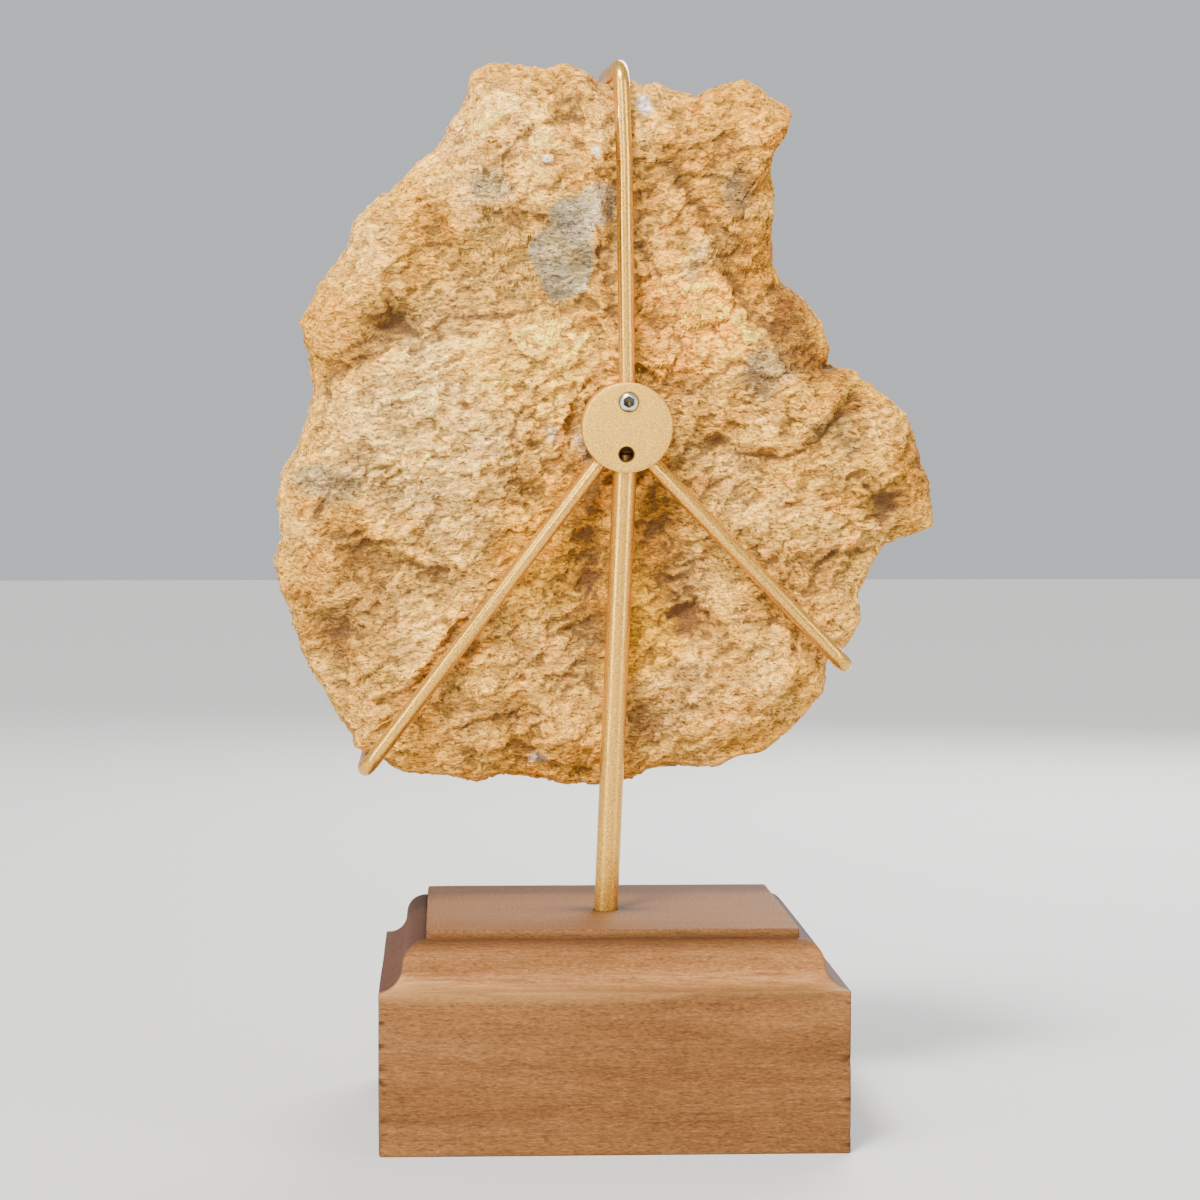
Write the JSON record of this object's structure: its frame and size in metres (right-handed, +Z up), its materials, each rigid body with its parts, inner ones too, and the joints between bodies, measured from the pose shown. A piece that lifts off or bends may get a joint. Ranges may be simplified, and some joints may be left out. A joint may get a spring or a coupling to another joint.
{
  "type": "fossil sea urchin in rock matrix on a display stand",
  "caption": "Slab of ochre rock with a fossil sea urchin and its spines, held by bent metal rods on a post over a moulded square wood base.",
  "frame": {"origin": "centre of the base's underside", "axes": "+Z up, -Y towards the side with the hub and rods, +Y towards the side with the fossil, +X to the right seen from the rods' side"},
  "size_m": [0.223, 0.15, 0.3533],
  "materials": {
    "stained_wood": "satin stained brown",
    "gold_metal": "satin champagne gold",
    "bright_steel": "bright",
    "ochre_rock": "rough broken",
    "fossil_calcite": "dull cleaned"
  },
  "bodies": {
    "root": {"base": "stained_wood", "post": "gold_metal", "hub": "gold_metal", "set_screw": "bright_steel", "upper_arm": "gold_metal", "left_arm": "gold_metal", "right_arm": "gold_metal", "matrix": "ochre_rock", "sea_urchin_test": "fossil_calcite", "urchin_spine_01": "fossil_calcite", "urchin_spine_02": "fossil_calcite", "urchin_spine_03": "fossil_calcite", "urchin_spine_04": "fossil_calcite", "urchin_spine_05": "fossil_calcite", "urchin_spine_06": "fossil_calcite", "urchin_spine_07": "fossil_calcite", "urchin_spine_08": "fossil_calcite", "urchin_spine_09": "fossil_calcite", "urchin_spine_10": "fossil_calcite", "urchin_spine_11": "fossil_calcite", "urchin_spine_12": "fossil_calcite"}
  },
  "joints": []
}
